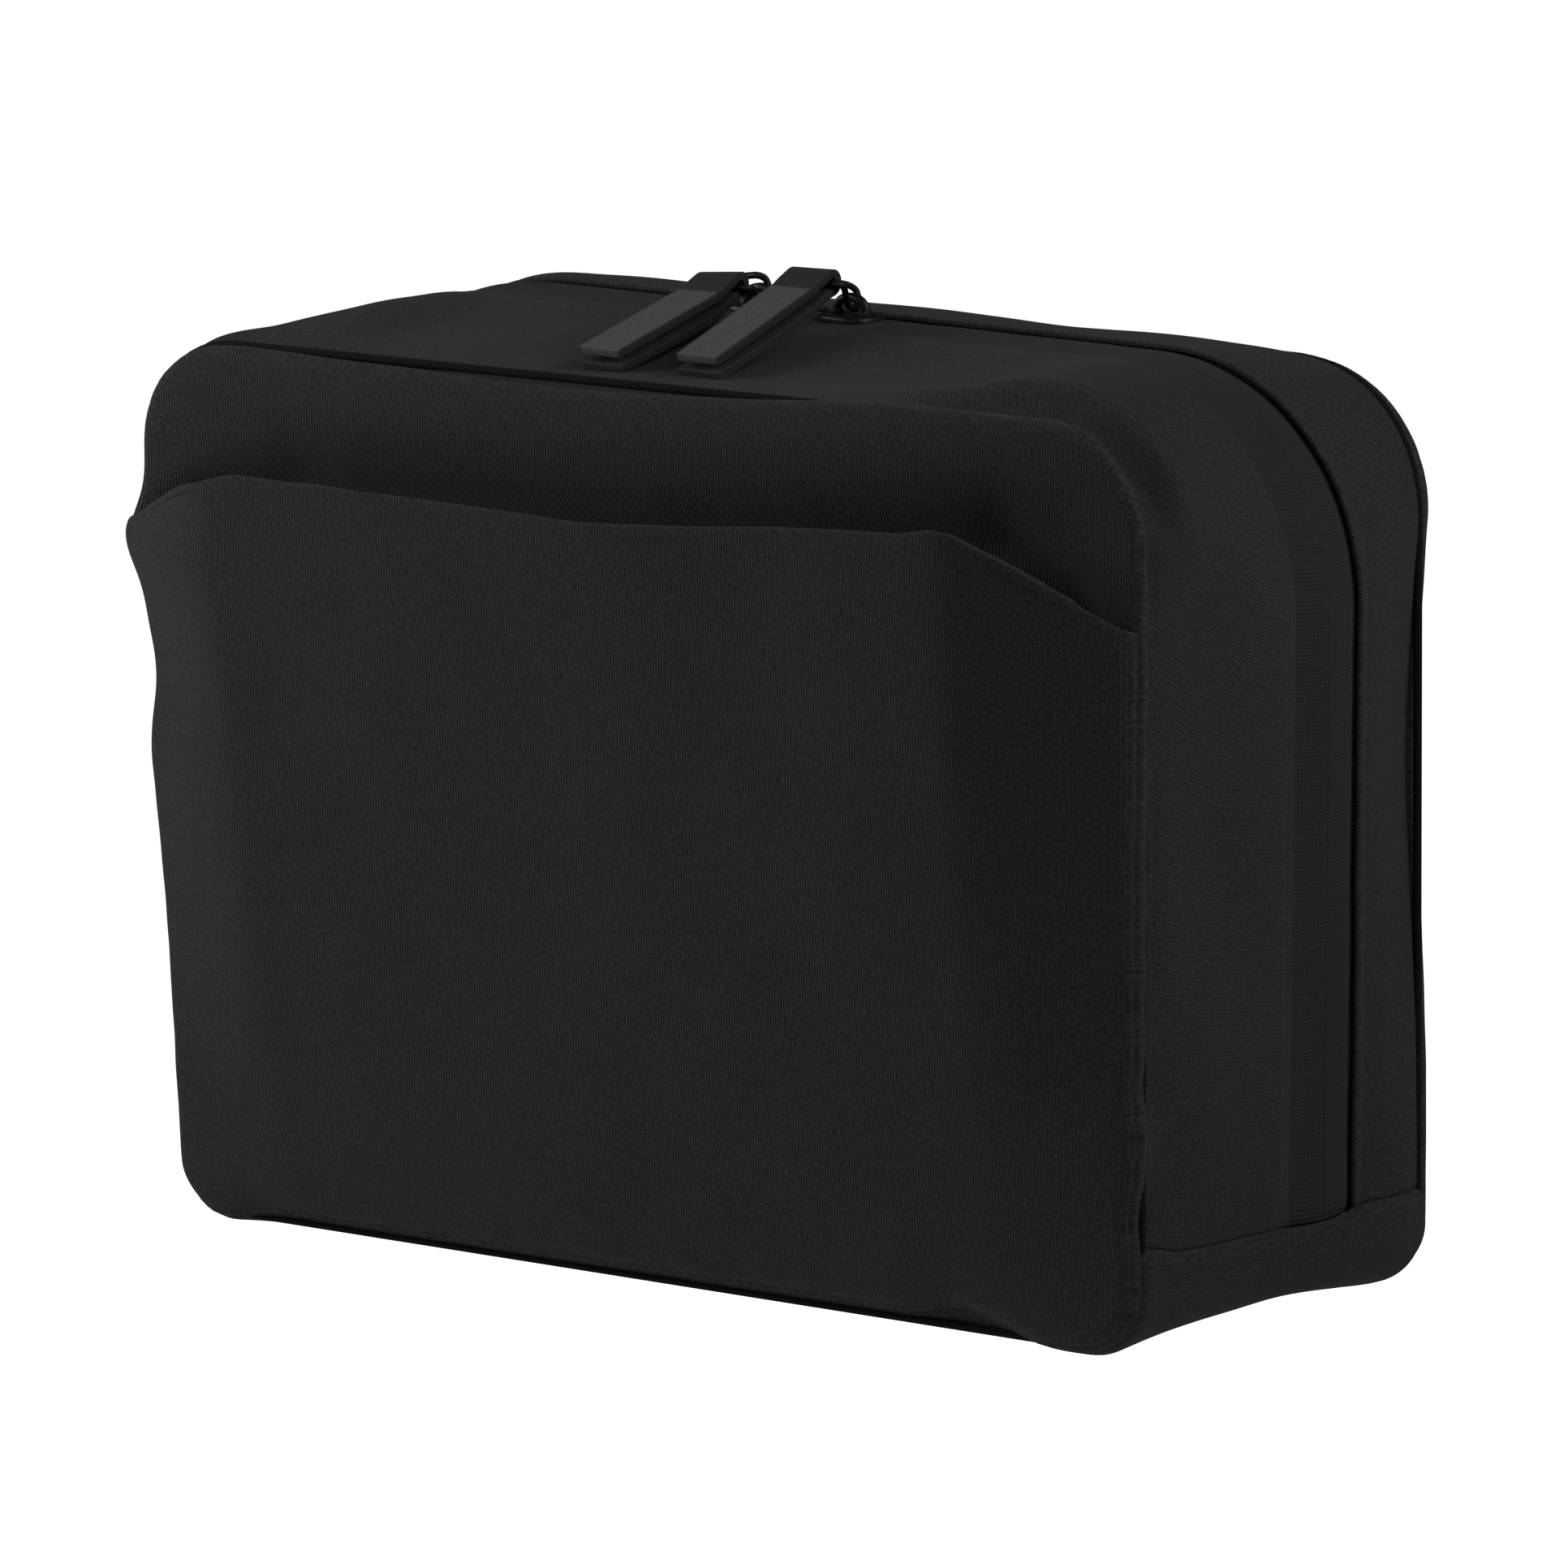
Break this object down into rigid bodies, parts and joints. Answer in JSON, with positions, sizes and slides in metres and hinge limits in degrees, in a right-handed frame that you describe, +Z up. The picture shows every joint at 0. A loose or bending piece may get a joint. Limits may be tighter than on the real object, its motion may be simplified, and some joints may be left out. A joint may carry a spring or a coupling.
{
  "type": "cable organizer pouch",
  "caption": "Soft zipped clamshell pouch that stands on its bottom gusset, with an outside slip pocket, strap pulls, and loops and pockets for cables inside.",
  "frame": {"origin": "middle of the pouch's footprint, on the surface that it stands on", "axes": "+Z up, -Y out of the front pocket, +X to the right seen from the front"},
  "size_m": [0.2146, 0.1064, 0.1671],
  "materials": {
    "shell": "matte black woven nylon, fine weave",
    "foam": "soft grey foam board",
    "lining": "smooth grey woven lining",
    "binding": "black woven seam tape",
    "mesh": "black knitted mesh",
    "elastic": "black ribbed elastic",
    "zip": "black reversed coil zip tape",
    "strap": "black smooth woven strap",
    "metal": "satin black zinc"
  },
  "bodies": {
    "rear_half": {"back_panel": "shell", "back_foam": "foam", "back_lining": "lining", "rear_gusset": "shell", "rear_zip_tape": "zip", "rear_zip_coil": "zip", "rear_seam_binding": "binding", "bottom_gusset": "shell", "organizer_pocket": "lining", "cable_loop_1": "elastic", "cable_loop_2": "elastic", "cable_loop_3": "elastic", "cable_loop_4": "elastic", "cable_loop_5": "elastic"},
    "front_half": {"front_panel": "shell", "front_foam": "foam", "front_lining": "lining", "front_gusset": "shell", "front_zip_tape": "zip", "front_zip_coil": "zip", "front_seam_binding": "binding", "front_pocket": "shell", "front_pocket_hem": "binding", "lid_pocket": "mesh", "lid_pocket_binding": "binding"},
    "left_slider": {"left_slider": "metal"},
    "left_ring": {"left_pull_ring": "metal"},
    "left_strap": {"left_pull_strap": "strap"},
    "right_slider": {"right_slider": "metal"},
    "right_ring": {"right_pull_ring": "metal"},
    "right_strap": {"right_pull_strap": "strap"}
  },
  "joints": [
    {"name": "lid_hinge", "type": "hinge", "parent": "rear_half", "child": "front_half", "pos_m": [0, 0.01925, 0.0165], "axis": [1, 0, 0], "range_deg": [0, 90], "deforming": ["bottom_gusset"]},
    {"name": "left_slider_slide", "type": "slide", "parent": "rear_half", "child": "left_slider", "axis": [-1, 0, 0], "range_m": [0, 0.04]},
    {"name": "left_ring_swing", "type": "hinge", "parent": "left_slider", "child": "left_ring", "pos_m": [-0.016, 0.01925, 0.1609], "axis": [-1, 0, 0], "range_deg": [0, 110]},
    {"name": "left_strap_swing", "type": "hinge", "parent": "left_ring", "child": "left_strap", "pos_m": [-0.016, 0.00816, 0.16246], "axis": [-1, 0, 0], "range_deg": [0, 60]},
    {"name": "right_slider_slide", "type": "slide", "parent": "rear_half", "child": "right_slider", "axis": [1, 0, 0], "range_m": [0, 0.045]},
    {"name": "right_ring_swing", "type": "hinge", "parent": "right_slider", "child": "right_ring", "pos_m": [0.0035, 0.01925, 0.1609], "axis": [-1, 0, 0], "range_deg": [0, 110]},
    {"name": "right_strap_swing", "type": "hinge", "parent": "right_ring", "child": "right_strap", "pos_m": [0.0035, 0.00873, 0.16473], "axis": [-1, 0, 0], "range_deg": [0, 60]}
  ]
}
